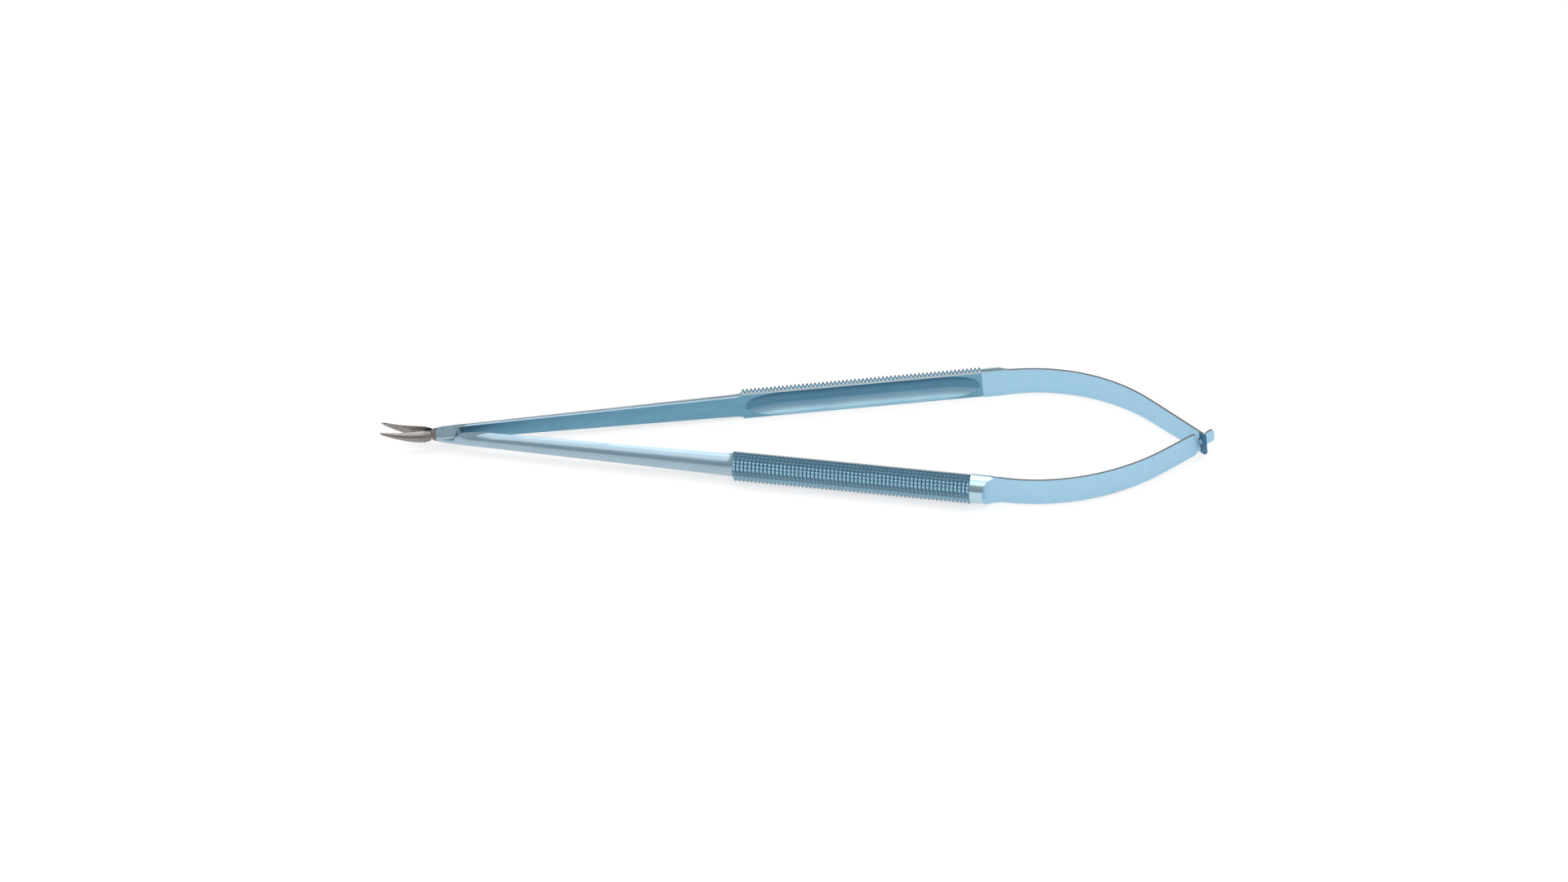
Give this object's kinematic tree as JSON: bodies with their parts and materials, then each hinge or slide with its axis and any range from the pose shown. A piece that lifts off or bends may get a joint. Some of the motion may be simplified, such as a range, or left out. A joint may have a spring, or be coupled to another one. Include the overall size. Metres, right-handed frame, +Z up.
{
  "type": "surgical needle holder",
  "caption": "Micro-surgical needle holder with round knurled spring handles, a screwed lap joint and fine upturned jaws.",
  "frame": {"origin": "centre of the footprint, at the height that the knurl tips of the two grips rest on", "axes": "+X from the jaws to the tail of the springs, +Y away from the near handle, +Z up, along the pivot screw"},
  "size_m": [0.208, 0.0446, 0.0088],
  "materials": {
    "anodised_titanium": "satin blue anodised titanium; bare grey in front of the screw",
    "bare_titanium": "bare grey titanium with finely roughened gripping faces",
    "leaf_titanium": "fine matt light blue anodised titanium; polished on the round root",
    "screw_titanium": "satin blue anodised titanium"
  },
  "bodies": {
    "far_half": {"far_lever": "anodised_titanium", "near_jaw": "bare_titanium"},
    "near_half": {"near_lever": "anodised_titanium", "pivot_screw": "screw_titanium", "far_jaw": "bare_titanium"},
    "far_leaf": {"far_spring": "leaf_titanium"},
    "near_leaf": {"near_spring": "leaf_titanium"}
  },
  "joints": [
    {"name": "jaw_pivot", "type": "hinge", "parent": "far_half", "child": "near_half", "pos_m": [-0.08813, 0, 0.00439], "axis": [0, 0, 1], "range_deg": [0, 13], "stiffness_Nm_per_rad": 1.2},
    {"name": "far_flex", "type": "hinge", "parent": "far_half", "child": "far_leaf", "pos_m": [0.05258, 0.01905, 0.00439], "axis": [0, 0, 1], "range_deg": [0, 24.9], "deforming": ["far_spring"]},
    {"name": "near_flex", "type": "hinge", "parent": "near_half", "child": "near_leaf", "pos_m": [0.05258, -0.01905, 0.00439], "axis": [0, 0, 1], "range_deg": [-24.9, 0], "deforming": ["near_spring"]}
  ],
  "couplings": [
    {"joint": "far_flex", "follows": "jaw_pivot", "ratio": 1.91},
    {"joint": "near_flex", "follows": "jaw_pivot", "ratio": -1.91}
  ]
}
